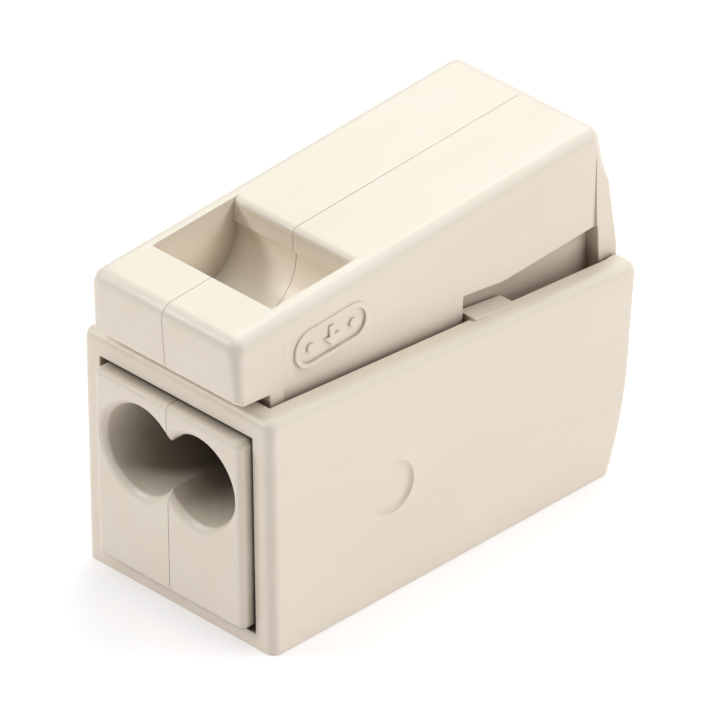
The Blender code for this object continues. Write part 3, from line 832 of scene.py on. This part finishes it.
def make_contact_bar():
    """A plate under the wires, with an upturned end they pass and a narrow tail in the cage clamp."""
    front, back = BAR_DEPTHS
    end_back = front + BAR_END_THICKNESS
    outline = rounded([
        (front, BAR_BOTTOM, BAR_END_BENDS[0]),
        (back, BAR_BOTTOM, METAL_EDGE),
        (back, BAR_TOP, METAL_EDGE),
        (end_back, BAR_TOP, BAR_END_BENDS[1]),
        (end_back, BAR_END_TOP, METAL_EDGE),
        (front, BAR_END_TOP, METAL_EDGE),
    ])
    bar = moulded("contact_bar", outline, (-BAR_HALF, BAR_HALF), even(METAL_EDGE))
    heights = (BAR_BOTTOM - CLEAR, BAR_TOP + CLEAR)
    beside_tail = rectangle((BAR_TAIL_DEPTH, FAR), heights, BAR_TAIL_CORNER)
    tail_sides = both_sides("tail_side", beside_tail, BAR_TAIL_HALF, BAR_HALF + CLEAR)
    mouth = BAR_HOLE_RADIUS + BAR_HOLE_CHAMFER
    hole = [
        (front - CLEAR, mouth),
        (front, mouth),
        (front + BAR_HOLE_CHAMFER, BAR_HOLE_RADIUS),
        (end_back + CLEAR, BAR_HOLE_RADIUS),
    ]
    holes = [turned("bar_hole", hole, x, ENTRY_HEIGHT) for x in (-ENTRY_X, ENTRY_X)]
    cut(bar, *tail_sides, *holes)
    return bar


def make_wire_spring():
    """The fixed leg above the wires, with its half of the front bend and a middle leg to the bar."""
    bend_top = TONGUE_BEND[1] + TONGUE_BEND_RADIUS
    line = [(SPRING_LEG_END, bend_top)] + arc(TONGUE_BEND, TONGUE_BEND_RADIUS, 90, BEND_SPLIT[0])
    spring = bent("wire_spring", line, SPRING_THICKNESS, (-SPRING_HALF, SPRING_HALF))
    leg_depths = (SPRING_LEG_END - SPRING_THICKNESS, SPRING_LEG_END)
    leg_heights = (BAR_TOP + CONTACT_GAP, bend_top + SPRING_LEG_ROOT)
    add(spring, block("middle_leg", SPRING_LEG_HALF, leg_depths, leg_heights))
    return spring


def make_tongue(side, span):
    """One clamping tongue, from the bend down to the bar; a wire pushes it up about the bend."""
    line = arc(TONGUE_BEND, TONGUE_BEND_RADIUS, BEND_SPLIT[1], TONGUE_BEND_END)
    last_depth, last_height = line[-1]
    drop = last_height - BAR_TOP - CONTACT_GAP - SPRING_THICKNESS / 2 - TONGUE_LIFT
    line.append((last_depth + drop, last_height - drop))
    return bent(f"wire_tongue_{side}", line, SPRING_THICKNESS, span)


def make_cage_leg():
    """The fixed leg on the bar and the lower half of the cage clamp's bow."""
    foot = (CAGE_FOOT, CAGE_BEND[1] - CAGE_BEND_RADIUS)
    line = [foot] + arc(CAGE_BEND, CAGE_BEND_RADIUS, 270, BEND_SPLIT[1])
    return bent("cage_spring_leg", line, CAGE_THICKNESS, (-CAGE_HALF, CAGE_HALF))


def make_cage_arm():
    """The upper half of the bow, the arm that the lever presses and the cage that holds the wire."""
    top = CAGE_BEND[1] + CAGE_BEND_RADIUS
    line = arc(CAGE_BEND, CAGE_BEND_RADIUS, BEND_SPLIT[0], 90)
    line += arc((CAGE_LEG - CAGE_CORNER, top - CAGE_CORNER), CAGE_CORNER, 90, 0)
    line.append((CAGE_LEG, CAGE_LEG_LOW))
    arm = bent("cage_spring_arm", line, CAGE_THICKNESS, (-CAGE_HALF, CAGE_HALF))
    low, high = CAGE_WINDOW_HEIGHTS
    window = rectangle((-CAGE_WINDOW_HALF, CAGE_WINDOW_HALF), (low, high), CAGE_WINDOW_CORNER)
    depths = (CAGE_LEG - CAGE_THICKNESS * 2, CAGE_LEG + CAGE_THICKNESS * 2)
    cut(arm, moulded("cage_window", window, depths, place=inwards))
    return arm


# ---------------------------------------------------------------- materials

def new_material(name):
    """A Principled material, its tree, its shader and coordinates in metres that ride with each piece."""
    material = bpy.data.materials.new(name)
    material.use_nodes = True
    tree = material.node_tree
    place = tree.nodes.new("ShaderNodeTexCoord")
    return material, tree, tree.nodes["Principled BSDF"], place.outputs["Object"]


def noise(tree, place, size, detail=2.0, stretch=(1, 1, 1)):
    """Noise whose features are about size metres across."""
    mapping = tree.nodes.new("ShaderNodeMapping")
    mapping.inputs["Scale"].default_value = stretch
    tree.links.new(place, mapping.inputs["Vector"])
    node = tree.nodes.new("ShaderNodeTexNoise")
    node.inputs["Scale"].default_value = 1 / size
    node.inputs["Detail"].default_value = detail
    tree.links.new(mapping.outputs["Vector"], node.inputs["Vector"])
    return node.outputs["Fac"]


def spread(tree, factor, low, high, taken=(0.3, 0.7)):
    """The taken part of the factor's range, stretched to run from low to high."""
    node = tree.nodes.new("ShaderNodeMapRange")
    node.inputs["From Min"].default_value = taken[0]
    node.inputs["From Max"].default_value = taken[1]
    node.inputs["To Min"].default_value = low
    node.inputs["To Max"].default_value = high
    tree.links.new(factor, node.inputs["Value"])
    return node.outputs["Result"]


def blend_colours(tree, factor, first, second):
    node = tree.nodes.new("ShaderNodeMix")
    node.data_type = "RGBA"
    tree.links.new(factor, node.inputs["Factor"])
    for socket, colour in (("A", first), ("B", second)):
        if isinstance(colour, tuple):
            node.inputs[socket].default_value = (*colour, 1)
        else:
            tree.links.new(colour, node.inputs[socket])
    return node.outputs["Result"]


def openness(tree, reach, depths):
    """1 on an open surface, falling to 0 deep inside recesses narrower than reach; it is the mask for the
    shade painted into recesses.
    """
    node = tree.nodes.new("ShaderNodeAmbientOcclusion")
    node.samples = PAINTED_SHADE_SAMPLES
    node.inputs["Distance"].default_value = reach
    return spread(tree, node.outputs["AO"], 0.0, 1.0, depths)


def bump(tree, height, strength, distance, under=None):
    node = tree.nodes.new("ShaderNodeBump")
    node.inputs["Strength"].default_value = strength
    node.inputs["Distance"].default_value = distance
    tree.links.new(height, node.inputs["Height"])
    if under is not None:
        tree.links.new(under, node.inputs["Normal"])
    return node.outputs["Normal"]


def ivory_plastic(name, reach, painted_shade_colour, depths):
    """Satin moulded polyamide: faint flow streaks, patches of roughness, a fine sparked grain and shallow
    waves, and painted shade: a darker colour painted into recesses narrower than reach, where shade falls."""
    material, tree, shader, place = new_material(name)
    streaks = noise(tree, place, *STREAKS)
    flow = blend_colours(tree, spread(tree, streaks, 0.0, 1.0), *IVORY_TONES)
    # painted shade: the base colour turns to the dark shade colour in recesses, where light is blocked
    colour = blend_colours(tree, openness(tree, reach, depths), painted_shade_colour, flow)
    tree.links.new(colour, shader.inputs["Base Color"])
    patches = noise(tree, place, *PATCHES)
    tree.links.new(spread(tree, patches, *IVORY_ROUGHNESS), shader.inputs["Roughness"])
    waves = bump(tree, noise(tree, place, *WAVES), *WAVE_BUMP)
    grain = bump(tree, noise(tree, place, *GRAIN), *GRAIN_BUMP, waves)
    tree.links.new(grain, shader.inputs["Normal"])
    return material


def rolled_metal(name, light, dark, roughness):
    """Rolled strip: fine brushed lines along its run, with a slight change of tone."""
    material, tree, shader, place = new_material(name)
    lines = noise(tree, place, *BRUSHED_LINES)
    colour = blend_colours(tree, spread(tree, lines, 0.0, 1.0), dark, light)
    tree.links.new(colour, shader.inputs["Base Color"])
    roughnesses = spread(tree, lines, roughness, roughness + BRUSHED_ROUGHNESS)
    tree.links.new(roughnesses, shader.inputs["Roughness"])
    tree.links.new(bump(tree, lines, *BRUSHED_BUMP), shader.inputs["Normal"])
    shader.inputs["Metallic"].default_value = 1.0
    shader.inputs["Anisotropic"].default_value = BRUSHED_ANISOTROPY
    return material


def floor_material():
    """A plain pale studio floor that glows a little, so that it stays near white around the object."""
    material, tree, shader, place = new_material("studio_floor")
    tone = blend_colours(tree, noise(tree, place, FLOOR_MOTTLE), *FLOOR_TONES)
    tree.links.new(tone, shader.inputs["Base Color"])
    shader.inputs["Roughness"].default_value = FLOOR_ROUGHNESS
    shader.inputs["Specular IOR Level"].default_value = 0.0
    shader.inputs["Emission Color"].default_value = (1, 1, 1, 1)
    shader.inputs["Emission Strength"].default_value = FLOOR_GLOW
    return material


# ---------------------------------------------------------------- studio

def look_frame(azimuth, elevation, roll=0.0):
    """A viewer's right, up and back directions; azimuth 0 looks along +Y."""
    a, e = math.radians(azimuth), math.radians(elevation)
    back = Vector((math.sin(a) * math.cos(e), -math.cos(a) * math.cos(e), math.sin(e)))
    right = Vector((math.cos(a), math.sin(a), 0))
    turn = Matrix.Rotation(math.radians(roll), 3, back)
    return turn @ right, turn @ back.cross(right), back


def make_camera():
    right, up, back = look_frame(*CAMERA_TURN)
    data = bpy.data.cameras.new("camera")
    data.sensor_width = CAMERA_SENSOR
    data.lens = CAMERA_LENS
    data.clip_start, data.clip_end = CAMERA_CLIPS
    camera = bpy.data.objects.new("camera", data)
    place = Matrix((right, up, back)).transposed().to_4x4()
    place.translation = Vector(CAMERA_TARGET) + back * CAMERA_DISTANCE * MM
    camera.matrix_world = place
    bpy.context.scene.collection.objects.link(camera)
    bpy.context.scene.camera = camera


def make_light(name, azimuth, elevation, size, power, colour):
    """A square soft light that faces the object, placed by the direction it comes from."""
    back = look_frame(azimuth, elevation)[2]
    data = bpy.data.lights.new(name, "AREA")
    data.size = size
    data.energy = power
    data.color = colour
    light = bpy.data.objects.new(name, data)
    light.location = back * LIGHT_DISTANCE
    light.rotation_mode = "QUATERNION"
    light.rotation_quaternion = (-back).to_track_quat("-Z", "Y")
    bpy.context.scene.collection.objects.link(light)


def make_studio():
    scene = bpy.context.scene
    scene.view_settings.view_transform = "Standard"
    world = bpy.data.worlds.new("studio")
    world.use_nodes = True
    background = world.node_tree.nodes["Background"]
    background.inputs["Color"].default_value = (1, 1, 1, 1)
    background.inputs["Strength"].default_value = WORLD_GLOW
    scene.world = world

    builder = bmesh.new()
    half = FLOOR_SIZE / 2
    bmesh.ops.create_grid(builder, x_segments=FLOOR_CELLS, y_segments=FLOOR_CELLS, size=half)
    floor = make_object("studio_floor", builder)
    floor.data.materials.append(floor_material())
    floor.location.z = -FLOOR_GAP
    for light in LIGHTS:
        make_light(*light)


# ---------------------------------------------------------------- assembly

def main():
    # the three plastics differ only in the shade painted into their recesses
    shell = ivory_plastic("ivory_plastic_housing", *HOUSING_PAINTED_SHADE)
    entries = ivory_plastic("ivory_plastic_insert", *INSERT_PAINTED_SHADE)
    lever = ivory_plastic("ivory_plastic_lever", *LEVER_PAINTED_SHADE)
    finish_surface(make_housing(), shell, "base", "housing")
    finish_surface(make_entry_insert(), entries, "base", "entry_insert")
    finish_surface(make_operating_lever(), lever, "lever", "operating_lever")
    copper = rolled_metal("tinned_copper", *COPPER)
    finish_surface(make_contact_bar(), copper, "base", "current_bar")
    steel = rolled_metal("spring_steel", *STEEL)
    finish_surface(make_wire_spring(), steel, "base", "push_wire_spring")
    for side, span in (("left", (-SPRING_HALF, -TONGUE_GAP)), ("right", (TONGUE_GAP, SPRING_HALF))):
        tongue = make_tongue(side, span)
        finish_surface(tongue, steel, f"tongue_{side}", f"push_wire_tongue_{side}")
    finish_surface(make_cage_leg(), steel, "base", "cage_clamp_spring")
    finish_surface(make_cage_arm(), steel, "cage", "cage_clamp_arm")
    make_camera()
    make_studio()


main()
